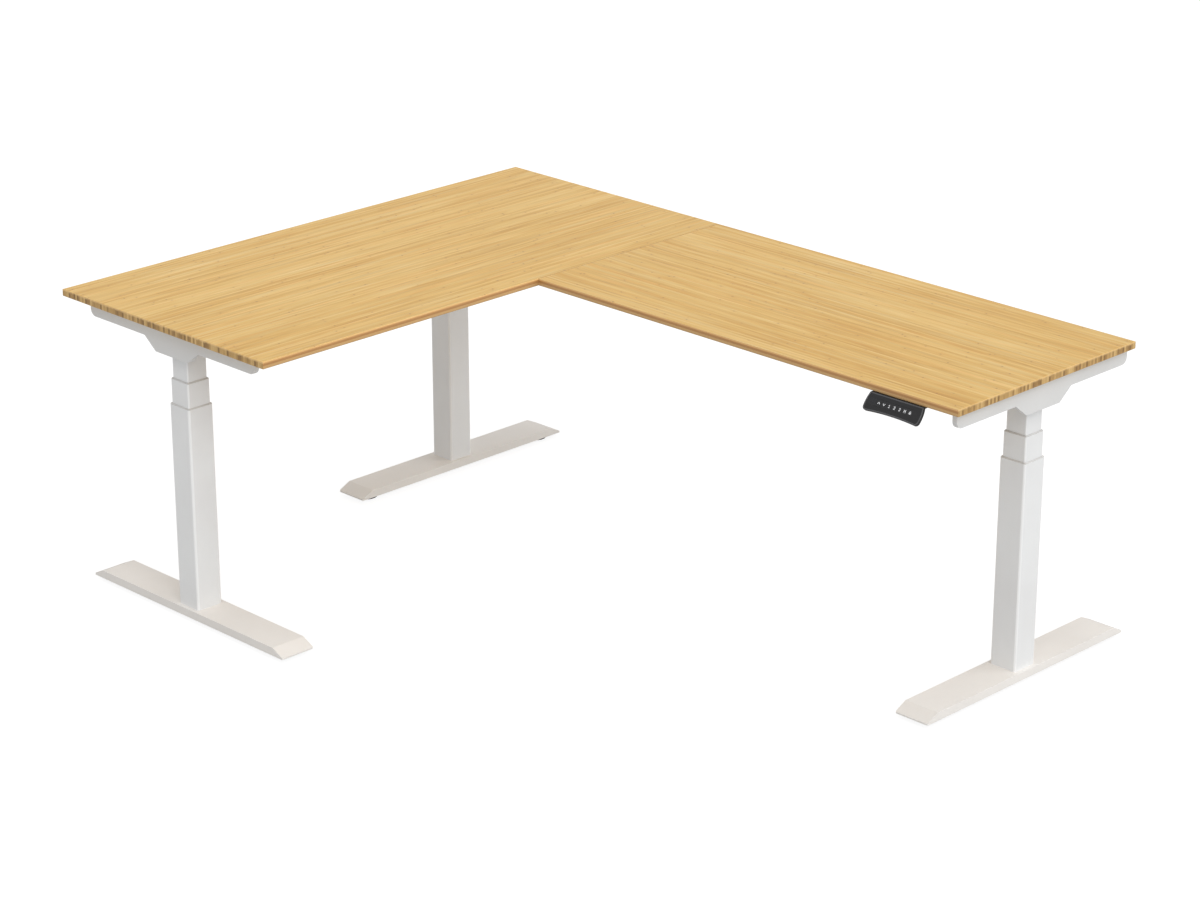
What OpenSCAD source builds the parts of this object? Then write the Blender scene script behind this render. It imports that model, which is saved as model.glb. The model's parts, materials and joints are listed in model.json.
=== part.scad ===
// L-shaped height adjustable standing desk: two bamboo panels on three
// three-stage telescopic columns, with a keypad under the front edge.
// Millimetres, +Z up, X along the main panel, Y towards its back edge.
// The origin is on the floor, at the middle of the desk's overall footprint.

/* [Desktop] */
// Length of the main panel, along X
main_l = 1320; // [1100:10:1600]
// Depth of the main panel, along Y
main_d = 650; // [600:10:760]
// Width of the return panel, along X
return_w = 762; // [720:2:800]
// Length of the return panel, along Y
return_l = 1524; // [1400:2:1800]
// Thickness of both panels
top_t = 18; // [15:1:25]
// Radius of the eased panel edges
edge_r = 1.6; // [0.8:0.2:3]
// Height of the top surface above the floor
desk_h = 773; // [760:1:790]

/* [Columns] */
// Outside width of the square outer tube
outer_w = 74; // [72:1:80]
// How much narrower each stage is than the one outside it
stage_step = 8; // [8:0.5:9]
// Wall thickness of the tubes
tube_wall = 2; // [1.5:0.1:2]
// Corner radius of the outer tube
tube_r = 6; // [5:0.5:8]
// Height of the outer tube above the foot
outer_l = 520; // [510:1:530]
// Length of middle tube that shows above the outer tube
middle_show = 64; // [60:1:68]
// Length of the middle tube
middle_l = 515; // [505:1:520]
// Length of the inner tube
inner_l = 525; // [515:1:530]

/* [Column places] */
// Left column, distance in from the short edge of the return panel
left_inset = 83; // [75:1:95]
// Right column, distance in from the short edge of the main panel
right_inset = 71; // [66:1:95]
// Corner column, distance in from the left edge
corner_inset = 70; // [66:1:95]
// Right and corner columns, distance in from the back edge
back_inset = 317; // [300:1:330]

/* [Feet] */
// Length of a foot
foot_l = 735; // [700:5:760]
// Width of a foot
foot_w = 96; // [90:1:110]
// Height of a foot
foot_h = 21; // [19:1:24]
// Length of the sloping end of a foot
foot_slope = 36; // [28:1:40]
// Height of the upright lip under the slope
foot_lip = 4; // [2:1:6]
// Height of a foot's underside above the floor
glide_show = 12; // [10:1:16]
// Diameter of a levelling glide
glide_d = 64; // [50:1:70]
// Distance of a glide from the end of its foot
glide_inset = 52; // [50:1:60]

/* [Top frame] */
// Length of a side bracket
bracket_l = 625; // [580:5:640]
// Height of a side bracket
bracket_h = 40; // [36:1:44]
// Depth of the bent edge around a side bracket
bracket_lip = 13; // [10:1:16]
// Distance of a bracket's outer face from the column's axis
bracket_out = 52; // [50:1:56]
// Depth of the gusset below the panels
gusset_h = 72; // [68:1:76]
// Width of the gusset where it leaves the bracket
gusset_top_w = 203; // [180:1:220]
// Width of the gusset at its lower edge
gusset_low_w = 121; // [110:1:130]
// Width of a frame rail
rail_w = 20; // [18:1:24]
// Height of a frame rail
rail_h = 40; // [36:1:44]

/* [Keypad] */
// Width of the keypad
keypad_w = 161; // [155:1:170]
// Distance of the keypad from the right edge of the main panel
keypad_inset = 89; // [85:1:120]
// Number of keys
key_n = 7; // [7]
// Distance from one key to the next
key_pitch = 15; // [14.5:0.1:15.5]
// Width of a key
key_w = 12.4; // [11:0.1:13]
// Height of a key along the sloping face
key_h = 17; // [15:0.5:19]

/* [Hidden] */
$fn = 48;
eps = 0.01;

// heights
under = desk_h - top_t;
foot_top = glide_show + foot_h;
foot_r = 4;
outer_top = foot_top + outer_l;
middle_top = outer_top + middle_show;
middle_low = middle_top - middle_l;
sheet = 3;
housing_top = under - sheet;
housing_h = 57;
housing_low = housing_top - housing_h;
inner_low = housing_low - inner_l;

// stages
middle_w = outer_w - stage_step;
inner_w = middle_w - stage_step;
stage_r = 1.5;
bush_l = 60;
bush_lip = 3;
slide_gap = 0.3;

// spindle
screw_r = 6;
screw_low = inner_low + 30;
hollow_r = 11;
hollow_bore_r = 8;
hollow_top = middle_top - 17;
floor_t = 6;
journal_r = 7;
journal_gap = 0.05;
thread_gap = 0.2;
nut_h = 24;
nut_z = foot_top + 387;
rod_r = 4;
rod_x = 19;
bearing_r = 8;
bearing_l = 22;

// housing and motor
housing_w = 62;
housing_in = 75;
housing_out = bracket_out - sheet;
motor_r = 28;
motor_l = 110;
motor_z = housing_top - motor_r - 3;

// bracket
flange_w = 40;
bracket_end_r = 18;
gusset_slant = (gusset_top_w - gusset_low_w) / 2;
gusset_drop = gusset_h - bracket_h;
gusset_edge = sqrt(gusset_slant * gusset_slant + gusset_drop * gusset_drop);

// the desk's overall footprint
overall_w = return_w + main_l;
foot_back = foot_l / 2 - back_inset;
desk_x = -overall_w / 2;
desk_y = (return_l - foot_back) / 2;

// a leg is [x, y, turn]; its own frame has the foot along X, outboard along -Y
LEFT = [return_w / 2, left_inset - return_l, 0];
CORNER = [corner_inset, -back_inset, -90];
RIGHT = [overall_w - right_inset, -back_inset, 90];

// rails
rail_in = housing_w / 2;
rail_out = rail_in + rail_w;
rail_wall = 2;
rail_lap = 10;
main_rail_x0 = corner_inset + rail_lap;
main_rail_x1 = overall_w - right_inset - rail_lap;
return_rail_y0 = left_inset - return_l + rail_lap;
return_rail_y1 = -back_inset - rail_out;
rail_low = under - rail_h;

// control box
box_l = 300;
box_w = 110;
box_h = 42;
box_x = 900;
box_y = -back_inset + rail_out + 20;
inlet_w = 28;
inlet_h = 21;
inlet_depth = 15;

// keypad, in its own frame: X along it, Y forward of the panel edge, Z below the panel
key_z = 22;
face_top = [5, 0];
face_low = [30, -33];
face_run = face_low - face_top;
face_len = norm(face_run);
face_tilt = atan2(-face_run[1], face_run[0]);
key_t = 4;
key_gap = 0.2;
key_room = 1;
first_key = 38.5;
window_w = 26;
window_x = 18;
window_t = 1.5;
keypad_x = overall_w - keypad_inset - keypad_w;
pad_back = 62;
pad_back_h = 14;
body_inset = 30;
plate_t = 7;
plate_h = 44.5;
plate_r = 9;
plate_widest = 26;
plate_bulge = 4;
strip_inset = plate_bulge + 0.8;
plate_sag = 3.5;
plate_bottom = keypad_w / 2 - plate_r - 0.5;

// leads
lead_r = 2.5;
lead_y = -back_inset + rail_out + 6;
lead_z = under - 12;
dip_z = rail_low - 5;

// ---- places ----

// From the L's back left corner to the desk's own origin
module in_desk() {
    translate([desk_x, desk_y, 0]) children();
}

module at_leg(leg) {
    in_desk() translate([leg[0], leg[1], 0]) rotate(leg[2]) children();
}

// Keypad frame: origin at its left end, on the panel's front lower edge
module at_keypad() {
    in_desk() translate([keypad_x, -main_d, under]) mirror([0, 1, 0]) children();
}

// On the keypad's sloping face: X along it, Y down the slope, Z out of it
module on_face() {
    translate([0, face_top[0], face_top[1]]) rotate([-face_tilt, 0, 0]) children();
}

// ---- shapes ----

module rounded_rect(w, d, r) {
    square([w, d - 2 * r], center = true);
    square([w - 2 * r, d], center = true);
    for (x = [-1, 1], y = [-1, 1])
        translate([x * (w / 2 - r), y * (d / 2 - r)]) circle(r);
}

module square_tube(w, wall, r, h) {
    linear_extrude(h) difference() {
        rounded_rect(w, w, r);
        rounded_rect(w - 2 * wall, w - 2 * wall, r - wall);
    }
}

// A rounded rectangle drawn in XZ and run along Y, from y0 to y1
module along_y(y0, y1) {
    translate([0, y1, 0]) rotate([90, 0, 0]) linear_extrude(y1 - y0) children();
}

// The same, drawn in YZ and run along X, from x0 to x1
module along_x(x0, x1) {
    translate([x0, 0, 0]) rotate([90, 0, 90]) linear_extrude(x1 - x0) children();
}

// A square ring whose outside tapers from w0 to w1, with corners of radius r
module tapered_ring(w0, w1, r, hole, hole_r, h) {
    difference() {
        intersection() {
            along_y(-w0, w0) polygon([[-w0 / 2, 0], [w0 / 2, 0], [w1 / 2, h], [-w1 / 2, h]]);
            along_x(-w0, w0) polygon([[-w0 / 2, 0], [w0 / 2, 0], [w1 / 2, h], [-w1 / 2, h]]);
            linear_extrude(h) rounded_rect(w0, w0, r);
        }
        translate([0, 0, -1]) linear_extrude(h + 2) rounded_rect(hole, hole, hole_r);
    }
}

// A panel with eased edges, its low corner at x, y and its top at desk_h
module panel(x, y, l, d) {
    translate([x + l / 2, y + d / 2, desk_h - top_t / 2]) intersection() {
        along_y(-d / 2, d / 2) rounded_rect(l, top_t, edge_r);
        along_x(-l / 2, l / 2) rounded_rect(d, top_t, edge_r);
    }
}

// ---- desktop ----

module main_top() {
    color("burlywood") in_desk() panel(return_w, -main_d, main_l, main_d);
}

module return_top() {
    color("burlywood") in_desk() panel(0, -return_l, return_w, return_l);
}

plate_l = 120;
plate_w = 50;
plate_ys = [-60, -190, -460, -600];

module join_plates() {
    color("whitesmoke") in_desk() for (y = plate_ys)
        translate([return_w, y, under - sheet])
            linear_extrude(sheet) rounded_rect(plate_l, plate_w, 6);
}

module wood_screw() {
    translate([0, 0, -2.5]) cylinder(h = 2.5, r = 4.5);
    translate([0, 0, -eps]) cylinder(h = 15, r = 2);
}

screw_xs = [-280, -170, 170, 280];

module top_screws() {
    color("dimgray") {
        for (leg = [LEFT, CORNER, RIGHT]) at_leg(leg)
            for (x = screw_xs)
                translate([x, -bracket_out + flange_w / 2, housing_top]) wood_screw();
        in_desk() for (y = plate_ys, x = [-45, -18, 18, 45])
            translate([return_w + x, y, under - sheet]) wood_screw();
    }
}

// ---- top frame ----

module rail_section() {
    difference() {
        rounded_rect(rail_w, rail_h, 3);
        rounded_rect(rail_w - 2 * rail_wall, rail_h - 2 * rail_wall, 1);
    }
}

module main_rails() {
    color("whitesmoke") in_desk() for (side = [-1, 1])
        translate([0, -back_inset + side * (rail_in + rail_w / 2), under - rail_h / 2])
            along_x(main_rail_x0, main_rail_x1) rail_section();
}

module return_rails() {
    color("whitesmoke") in_desk() for (side = [-1, 1])
        translate([LEFT[0] + side * (rail_in + rail_w / 2), 0, under - rail_h / 2]) {
            along_y(return_rail_y0, return_rail_y1 - sheet) rail_section();
            along_y(return_rail_y1 - sheet, return_rail_y1)
                translate([side * 9, 0]) rounded_rect(rail_w + 18, rail_h, 3);
        }
}

bolt_in = [22, 60];

// Button head bolts through the rails into the housings, and at the rail joint
module frame_bolts() {
    color("dimgray") {
        for (leg = [LEFT, CORNER, RIGHT]) at_leg(leg)
            for (side = [-1, 1], y = bolt_in)
                translate([side * rail_out, y, under - rail_h / 2]) rotate([0, side * 90, 0])
                    cylinder(h = 4, r = 6.5);
        in_desk() for (side = [-1, 1])
            translate([LEFT[0] + side * (rail_out + 8), return_rail_y1 - sheet, under - rail_h / 2])
                rotate([90, 0, 0]) cylinder(h = 4, r = 6.5);
    }
}

module bracket_outline(inset) {
    low = inset - bracket_h;
    half = bracket_l / 2 - inset;
    r = bracket_end_r - inset;
    slant = inset * gusset_edge / gusset_drop;
    translate([-half, low + r]) square([2 * half, -low - r]);
    translate([r - half, low]) square([2 * (half - r), bracket_h - inset]);
    for (side = [-1, 1]) translate([side * (half - r), low + r]) circle(r);
    polygon([
        [-gusset_top_w / 2 + slant, -bracket_h], [-gusset_low_w / 2 + slant, inset - gusset_h],
        [gusset_low_w / 2 - slant, inset - gusset_h], [gusset_top_w / 2 - slant, -bracket_h],
        [gusset_top_w / 2 - slant, low + 1], [-gusset_top_w / 2 + slant, low + 1]
    ]);
}

// Folded sheet: an upright web, a bent edge all round its foot, and a top flange
module side_bracket(leg) {
    color("white") at_leg(leg) translate([0, 0, under]) {
        along_y(-bracket_out, -housing_out) bracket_outline(0);
        along_y(-housing_out - eps, -bracket_out + bracket_lip) difference() {
            bracket_outline(0);
            bracket_outline(sheet);
        }
        difference() {
            translate([-bracket_l / 2, -bracket_out, -sheet]) cube([bracket_l, flange_w, sheet]);
            for (x = screw_xs) translate([x, -bracket_out + flange_w / 2, -sheet - 1])
                cylinder(h = sheet + 2, r = 2);
        }
    }
}

// The casting that joins inner tube, bracket, rails and motor
module gear_housing(leg) {
    color("whitesmoke") at_leg(leg) difference() {
        translate([0, (housing_in - housing_out) / 2, housing_low])
            linear_extrude(housing_h) rounded_rect(housing_w, housing_in + housing_out, 5);
        translate([0, 0, housing_low - 1]) cylinder(h = bearing_l + 1, r = bearing_r + journal_gap);
    }
}

module motor(leg) {
    color("dimgray") at_leg(leg) translate([0, housing_in, motor_z]) rotate([-90, 0, 0]) {
        cylinder(h = motor_l - 12, r = motor_r);
        translate([0, 0, motor_l - 12]) cylinder(h = 12, r = motor_r - 5);
        translate([0, 0, motor_l - 6]) cylinder(h = 10, r = 8);
    }
}

// ---- columns ----

module outer_tube(leg) {
    color("white") at_leg(leg) translate([0, 0, foot_top])
        square_tube(outer_w, tube_wall, tube_r, outer_l);
}

// Plastic guide in a tube's mouth, with a small sloping lip over its end
module bush(tube_w, r, top) {
    slider_w = tube_w - stage_step;
    hole = slider_w + 2 * slide_gap;
    hole_r = r - stage_r + slide_gap;
    translate([0, 0, top - bush_l]) linear_extrude(bush_l) difference() {
        rounded_rect(tube_w - 2 * tube_wall, tube_w - 2 * tube_wall, r - tube_wall);
        rounded_rect(hole, hole, hole_r);
    }
    translate([0, 0, top]) tapered_ring(tube_w - 1, hole + 1.6, r - 0.5, hole, hole_r, bush_lip);
}

module outer_bush(leg) {
    color("gainsboro") at_leg(leg) bush(outer_w, tube_r, outer_top);
}

// Two rods on a plate, which hold the fixed nut up inside the stages
module screw_post(leg) {
    color("silver") at_leg(leg) {
        translate([0, 0, foot_top]) linear_extrude(5) rounded_rect(60, 60, 4);
        for (side = [-1, 1]) translate([side * rod_x, 0, foot_top + 5 - eps])
            cylinder(h = nut_z - foot_top - 5 + 2 * eps, r = rod_r);
        translate([0, 0, nut_z]) difference() {
            linear_extrude(nut_h) rounded_rect(2 * rod_x + 10, 30, 4);
            translate([0, 0, -1]) cylinder(h = nut_h + 2, r = hollow_r + thread_gap);
        }
    }
}

module middle_tube(leg) {
    color("white") at_leg(leg) translate([0, 0, middle_low]) {
        square_tube(middle_w, tube_wall, tube_r - stage_r, middle_l);
        linear_extrude(floor_t) difference() {
            rounded_rect(middle_w - 2, middle_w - 2, tube_r - stage_r - 1);
            circle(journal_r + journal_gap);
            for (side = [-1, 1]) translate([side * rod_x, 0]) circle(rod_r + 1);
        }
    }
}

module middle_bush(leg) {
    color("gainsboro") at_leg(leg) bush(middle_w, tube_r - stage_r, middle_top);
}

// Turns in the middle stage's floor, and carries the lead screw's nut at its top
module hollow_screw(leg) {
    base = middle_low + floor_t;
    color("silver") at_leg(leg) {
        difference() {
            translate([0, 0, base + 1]) cylinder(h = hollow_top - base - 1, r = hollow_r);
            translate([0, 0, base + 12]) cylinder(h = hollow_top - base - 32, r = hollow_bore_r);
            translate([0, 0, base + 12]) cylinder(h = hollow_top - base, r = screw_r + thread_gap);
        }
        translate([0, 0, middle_low - 1]) cylinder(h = floor_t + 2 + eps, r = journal_r);
        translate([0, 0, middle_low - 4]) cylinder(h = 3 + eps, r = journal_r + 2);
    }
}

module inner_tube(leg) {
    color("white") at_leg(leg) translate([0, 0, inner_low])
        square_tube(inner_w, tube_wall, tube_r - 2 * stage_r, inner_l);
}

module lead_screw(leg) {
    color("silver") at_leg(leg) {
        translate([0, 0, screw_low]) cylinder(h = housing_low - 2 - screw_low, r = screw_r);
        translate([0, 0, housing_low - 2 - eps]) cylinder(h = bearing_l + eps, r = bearing_r);
    }
}

// ---- feet ----

module foot_side(inset) {
    half = foot_l / 2;
    polygon([
        [-half + inset, -inset], [-half + inset, foot_lip - inset / 3],
        [-half + foot_slope + inset / 3, foot_h - inset], [half - foot_slope - inset / 3, foot_h - inset],
        [half - inset, foot_lip - inset / 3], [half - inset, -inset]
    ]);
}

// Pressed steel channel, open below, with a threaded boss for each glide
module foot(leg) {
    color("white") at_leg(leg) translate([0, 0, glide_show]) {
        difference() {
            intersection() {
                along_y(-foot_w / 2, foot_w / 2) foot_side(0);
                linear_extrude(foot_h) rounded_rect(foot_l, foot_w, foot_r);
            }
            along_y(sheet - foot_w / 2, foot_w / 2 - sheet) foot_side(sheet);
        }
        for (side = [-1, 1]) translate([side * (foot_l / 2 - glide_inset), 0, 0]) difference() {
            union() {
                translate([0, 0, 1]) cylinder(h = 12, r = 11);
                translate([-8, 1 - foot_w / 2, 4]) cube([16, foot_w - 2, 6]);
            }
            cylinder(h = foot_h, r = 4 + journal_gap);
        }
    }
}

// Levelling glide: a soft pad, a nut and a threaded stem; side is its end of the foot
module glide(leg, side) {
    color("black") at_leg(leg) translate([side * (foot_l / 2 - glide_inset), 0, 0]) {
        cylinder(h = 2, r1 = glide_d / 2 - 1.5, r2 = glide_d / 2, $fn = 64);
        translate([0, 0, 2 - eps]) cylinder(h = 4, r = glide_d / 2, $fn = 64);
        translate([0, 0, 6 - 2 * eps]) cylinder(h = 3, r1 = glide_d / 2, r2 = 9, $fn = 64);
        translate([0, 0, 9 - 3 * eps]) cylinder(h = 2.5, r = 8, $fn = 6);
        translate([0, 0, 11]) cylinder(h = 13, r = 4);
    }
}

// ---- control box, keypad and leads ----

module control_box() {
    color("dimgray") in_desk() difference() {
        union() {
            translate([box_x + box_l / 2, box_y + box_w / 2, under - box_h])
                linear_extrude(box_h) rounded_rect(box_l, box_w, 5);
            for (x = [box_x - 14, box_x + box_l - 6])
                translate([x, box_y + 15, under - sheet]) cube([20, box_w - 30, sheet]);
        }
        translate([box_x + 40, box_y + box_w - inlet_depth, under - box_h / 2 - inlet_h / 2])
            cube([inlet_w, inlet_depth + 1, inlet_h]);
    }
}

// Half the keypad plate's width at y, down the slope: its ends bulge a little
function plate_half(y) = keypad_w / 2 - plate_bulge * pow((y - plate_widest) / plate_widest, 2);

// One half of the plate's outline: bulging end, rounded lower corner and hollow lower edge
plate_side = concat(
    [for (y = [0 : 4 : plate_h - plate_r]) [plate_half(y), y]],
    [for (a = [10 : 16 : 90]) [plate_bottom, plate_h - plate_r] + plate_r * [cos(a), sin(a)]],
    [for (i = [1 : 5]) let (x = plate_bottom * (1 - i / 6))
        [x, plate_h - plate_sag * (1 - pow(x / plate_bottom, 2))]]
);

// The plate that carries the keys, in front of a narrower body with a flat top
module keypad_body() {
    on_face() translate([keypad_w / 2, 0, -plate_t]) linear_extrude(plate_t)
        polygon(concat(plate_side, [for (i = [len(plate_side) - 1 : -1 : 0]) [-plate_side[i][0], plate_side[i][1]]]));
    // strip along its upper edge, against the panel
    along_x(strip_inset, keypad_w - strip_inset)
        polygon([[-14, 0], [face_top[0] - 1, 0], [face_top[0] - 6, -4.5], [-14, -3.5]]);
    along_x(body_inset, keypad_w - body_inset) polygon([
        [-pad_back, 0], [face_top[0] - 3, 0], [face_low[0] - 8, face_low[1] + 7],
        [-8, -key_z], [-pad_back, -pad_back_h]
    ]);
}

module keypad_case() {
    color("black") at_keypad() difference() {
        keypad_body();
        // pockets for the keys and the window
        on_face() {
            for (i = [0 : key_n - 1])
                translate([first_key + i * key_pitch - key_w / 2 - key_gap,
                           (face_len - key_h) / 2 - key_gap, -key_t - key_room])
                    cube([key_w + 2 * key_gap, key_h + 2 * key_gap, key_t + key_room + 1]);
            translate([window_x - window_w / 2, (face_len - key_h) / 2, -window_t])
                cube([window_w, key_h, window_t + 1]);
        }
    }
}

module keypad_window() {
    color("darkslategray") at_keypad() on_face()
        translate([window_x - window_w / 2, (face_len - key_h) / 2, -window_t])
            cube([window_w, key_h, window_t]);
}

module key(i) {
    color("black") at_keypad() on_face()
        translate([first_key + i * key_pitch, face_len / 2, -key_t])
            linear_extrude(key_t) rounded_rect(key_w, key_h, 1.2);
}

function unit(v) = v / norm(v);

// Direction of a path at point i: along its segment, or between the two that meet there
function heading(p, i) =
    i == 0 ? unit(p[1] - p[0]) :
    i == len(p) - 1 ? unit(p[i] - p[i - 1]) :
    unit(unit(p[i] - p[i - 1]) + unit(p[i + 1] - p[i]));

// A ring of points round a path at point i
function ring(p, i, sides) =
    let (h = heading(p, i),
         side = unit(cross(h, abs(h[2]) > 0.9 ? [1, 0, 0] : [0, 0, 1])),
         up = cross(side, h))
    [for (k = [0 : sides - 1]) p[i] + lead_r * (cos(360 * k / sides) * side + sin(360 * k / sides) * up)];

// A round lead through a list of points
module lead(points) {
    n = len(points);
    sides = 8;
    polyhedron(
        [for (i = [0 : n - 1]) each ring(points, i, sides)],
        concat(
            [[for (k = [sides - 1 : -1 : 0]) k]],
            [for (i = [0 : n - 2], k = [0 : sides - 1])
                let (a = i * sides + k, b = i * sides + (k + 1) % sides)
                [a, b, b + sides, a + sides]],
            [[for (k = [0 : sides - 1]) (n - 1) * sides + k]]
        )
    );
}

motor_end = housing_in + motor_l + 4;
corner_lead_x = corner_inset + motor_end;
right_lead_x = overall_w - right_inset - motor_end;
left_lead_y = left_inset - return_l + motor_end;
return_lead_x = LEFT[0] + rail_out + 10;
box_mid = box_y + box_w / 2;
keypad_mid = keypad_x + keypad_w / 2;
box_in_z = under - box_h / 2;
rail_front_y = -back_inset - rail_out - 6;
crossing_x = right_lead_x - 140;

// From the motors and the keypad along the rails to the control box
module leads() {
    color("black") in_desk() {
        lead([[corner_lead_x, -back_inset, motor_z], [corner_lead_x + 20, -back_inset, motor_z],
              [corner_lead_x + 30, -back_inset, dip_z], [corner_lead_x + 60, lead_y + 14, dip_z],
              [corner_lead_x + 80, box_mid - 12, lead_z], [box_x - 50, box_mid - 12, lead_z],
              [box_x - 30, box_mid - 12, box_in_z], [box_x, box_mid - 12, box_in_z]]);
        lead([[LEFT[0], left_lead_y, motor_z], [LEFT[0], left_lead_y + 20, motor_z],
              [LEFT[0], left_lead_y + 30, dip_z], [return_lead_x, left_lead_y + 60, dip_z],
              [return_lead_x, left_lead_y + 90, lead_z], [return_lead_x, return_rail_y1 - 60, lead_z],
              [return_lead_x + 30, return_rail_y1 - 20, dip_z], [return_lead_x + 70, lead_y + 20, dip_z],
              [return_lead_x + 90, box_mid + 12, lead_z], [box_x - 50, box_mid + 12, lead_z],
              [box_x - 30, box_mid + 12, box_in_z], [box_x, box_mid + 12, box_in_z]]);
        lead([[right_lead_x, -back_inset, motor_z], [right_lead_x - 20, -back_inset, motor_z],
              [right_lead_x - 30, -back_inset, dip_z], [right_lead_x - 60, lead_y + 14, dip_z],
              [right_lead_x - 80, box_mid - 12, lead_z], [box_x + box_l + 50, box_mid - 12, lead_z],
              [box_x + box_l + 30, box_mid - 12, box_in_z], [box_x + box_l, box_mid - 12, box_in_z]]);
        lead([[keypad_mid, -main_d + pad_back, under - 7], [keypad_mid, -main_d + pad_back + 15, under - 7],
              [keypad_mid, -main_d + pad_back + 40, lead_z], [keypad_mid, rail_front_y - 30, lead_z],
              [keypad_mid - 20, rail_front_y - 14, lead_z], [crossing_x + 40, rail_front_y - 14, lead_z],
              [crossing_x + 15, rail_front_y - 10, dip_z], [crossing_x, rail_front_y, dip_z],
              [crossing_x, lead_y + 14, dip_z],
              [crossing_x - 30, box_mid + 12, lead_z], [box_x + box_l + 50, box_mid + 12, lead_z],
              [box_x + box_l + 30, box_mid + 12, box_in_z], [box_x + box_l, box_mid + 12, box_in_z]]);
    }
}

// ---- assembly ----

main_top();
return_top();
join_plates();
top_screws();
main_rails();
return_rails();
frame_bolts();
control_box();
keypad_case();
keypad_window();
key(0);  // key_up
key(1);  // key_down
key(2);  // key_one
key(3);  // key_two
key(4);  // key_three
key(5);  // key_memory
key(6);  // key_alarm
leads();

foot(LEFT);  // left_foot
glide(LEFT, 1);  // left_glide_inner
glide(LEFT, -1);  // left_glide_outer
outer_tube(LEFT);  // left_outer_tube
outer_bush(LEFT);  // left_outer_bush
screw_post(LEFT);  // left_screw_post
middle_tube(LEFT);  // left_middle_tube
middle_bush(LEFT);  // left_middle_bush
hollow_screw(LEFT);  // left_hollow_screw
inner_tube(LEFT);  // left_inner_tube
lead_screw(LEFT);  // left_lead_screw
gear_housing(LEFT);  // left_gear_housing
motor(LEFT);  // left_motor
side_bracket(LEFT);  // left_side_bracket

foot(CORNER);  // corner_foot
glide(CORNER, 1);  // corner_glide_front
glide(CORNER, -1);  // corner_glide_back
outer_tube(CORNER);  // corner_outer_tube
outer_bush(CORNER);  // corner_outer_bush
screw_post(CORNER);  // corner_screw_post
middle_tube(CORNER);  // corner_middle_tube
middle_bush(CORNER);  // corner_middle_bush
hollow_screw(CORNER);  // corner_hollow_screw
inner_tube(CORNER);  // corner_inner_tube
lead_screw(CORNER);  // corner_lead_screw
gear_housing(CORNER);  // corner_gear_housing
motor(CORNER);  // corner_motor
side_bracket(CORNER);  // corner_side_bracket

foot(RIGHT);  // right_foot
glide(RIGHT, -1);  // right_glide_front
glide(RIGHT, 1);  // right_glide_back
outer_tube(RIGHT);  // right_outer_tube
outer_bush(RIGHT);  // right_outer_bush
screw_post(RIGHT);  // right_screw_post
middle_tube(RIGHT);  // right_middle_tube
middle_bush(RIGHT);  // right_middle_bush
hollow_screw(RIGHT);  // right_hollow_screw
inner_tube(RIGHT);  // right_inner_tube
lead_screw(RIGHT);  // right_lead_screw
gear_housing(RIGHT);  // right_gear_housing
motor(RIGHT);  // right_motor
side_bracket(RIGHT);  // right_side_bracket
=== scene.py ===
"""Looks of an L-shaped height adjustable desk: its materials, small pieces, light and camera.

Everything is in metres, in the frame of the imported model: origin on the floor under the middle of the
desk, +X along the main panel to the right, +Y to its back edge, +Z up.
"""
import json
import math

import bmesh
import bpy
from mathutils import Matrix, Vector


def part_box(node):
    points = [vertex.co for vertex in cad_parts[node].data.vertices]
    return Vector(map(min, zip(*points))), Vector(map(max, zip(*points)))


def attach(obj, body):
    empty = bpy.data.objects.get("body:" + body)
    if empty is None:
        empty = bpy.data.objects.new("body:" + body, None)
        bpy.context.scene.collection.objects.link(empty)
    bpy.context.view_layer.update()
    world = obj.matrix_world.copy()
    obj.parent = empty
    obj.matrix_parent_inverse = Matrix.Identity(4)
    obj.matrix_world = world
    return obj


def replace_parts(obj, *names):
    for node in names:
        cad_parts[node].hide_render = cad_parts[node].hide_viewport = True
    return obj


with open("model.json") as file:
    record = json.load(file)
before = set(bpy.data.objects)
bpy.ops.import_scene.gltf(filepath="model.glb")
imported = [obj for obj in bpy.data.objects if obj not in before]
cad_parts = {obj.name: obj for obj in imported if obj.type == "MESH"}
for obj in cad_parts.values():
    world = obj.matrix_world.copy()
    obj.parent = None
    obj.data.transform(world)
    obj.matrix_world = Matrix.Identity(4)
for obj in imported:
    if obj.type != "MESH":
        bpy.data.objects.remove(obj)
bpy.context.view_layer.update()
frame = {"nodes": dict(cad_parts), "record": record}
nodes = frame["nodes"]

MM = 0.001
DOWN = (0, 0, -1)
LEGS = ("left", "corner", "right")
KEYS = ("up", "down", "one", "two", "three", "memory", "alarm")

# the two panels and the seam between them
PANEL_LOW, PANEL_HIGH = (corner.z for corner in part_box("main_top"))
SEAM_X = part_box("main_top")[0].x
SEAM_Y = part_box("main_top")[0].y

# the keypad, whose face slopes by this much from its top to its foot
CASE_LOW, CASE_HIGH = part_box("keypad_case")
SLOPE_RUN = 25 * MM
SLOPE_DROP = 33 * MM
UP_FACE = Vector((0.0, SLOPE_RUN, SLOPE_DROP)).normalized()
OUT_OF_FACE = Vector((0.0, -SLOPE_DROP, SLOPE_RUN)).normalized()

# the control box and its leads
BOX_LOW, BOX_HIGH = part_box("control_box")
BOX_MID = (BOX_LOW + BOX_HIGH) / 2
TAB = 14 * MM               # length of the mounting tab at each end of the control box
LEAD_GAP = 12 * MM          # from the box's middle line to each lead
LEAD_R = 2.5 * MM
LEAD_Z = PANEL_LOW - 12 * MM

SHEET = 3 * MM              # thickness of the feet and of the control box's tabs
ROUND = 24                  # sides of a round piece
LEAD_SIDES = 12
SHARP = math.radians(38)    # faces that meet at more than this keep a sharp edge
WELD = 1e-6                 # corners closer than this are one


# ---------------------------------------------------------------- node trees

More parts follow.
